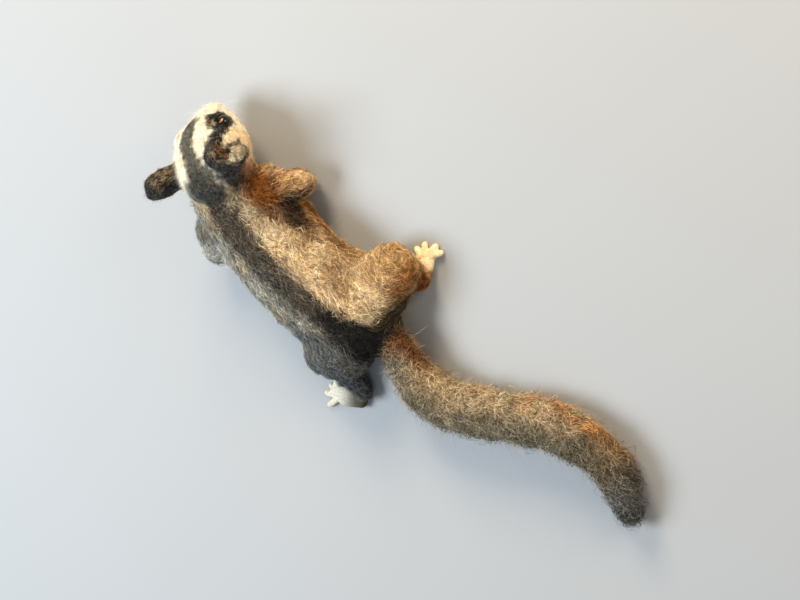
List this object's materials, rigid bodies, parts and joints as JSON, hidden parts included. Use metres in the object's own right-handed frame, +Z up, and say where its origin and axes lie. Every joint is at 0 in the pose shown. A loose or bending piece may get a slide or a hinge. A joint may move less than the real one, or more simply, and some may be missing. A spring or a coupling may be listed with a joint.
{
  "type": "needle-felted sugar glider figure",
  "caption": "Needle-felted wool figure of a crouching sugar glider, life size, head turned to its right and tail trailing in an S.",
  "frame": {"origin": "on the ground under the middle of the figure's outline", "axes": "+Z up; the figure faces -Y and its tail trails towards +Y; its left is +X"},
  "size_m": [0.0958, 0.2432, 0.0454],
  "materials": {
    "wool_cream": "cream needle-felted wool with a charcoal stripe and eye patches",
    "wool_back": "mottled grey-brown felted wool with a charcoal stripe down the back",
    "wool_flank": "mottled beige and tan felted wool",
    "wool_fold": "mottled tan felted wool",
    "wool_ochre": "ochre-brown felted wool",
    "wool_tail": "fuzzy mottled tan and grey wool",
    "wool_ear": "charcoal and brown felted wool",
    "wool_paw": "cream felted wool",
    "wool_nose": "pale pink felted wool",
    "bead_eye": "glossy dark brown bead"
  },
  "bodies": {
    "root": {"head": "wool_cream", "nose": "wool_nose", "ear_left": "wool_ear", "ear_right": "wool_ear", "eye_left": "bead_eye", "eye_right": "bead_eye", "neck": "wool_back", "torso": "wool_back", "thigh_left": "wool_flank", "thigh_right": "wool_flank", "shank_left": "wool_ochre", "shank_right": "wool_ochre", "foot_left": "wool_paw", "foot_right": "wool_paw", "upper_arm_left": "wool_flank", "upper_arm_right": "wool_flank", "forearm_left": "wool_flank", "forearm_right": "wool_flank", "hand_left": "wool_paw", "hand_right": "wool_paw", "membrane_left": "wool_fold", "membrane_right": "wool_fold", "tail_base": "wool_tail", "tail_middle": "wool_tail", "tail_tip": "wool_tail"}
  },
  "joints": []
}
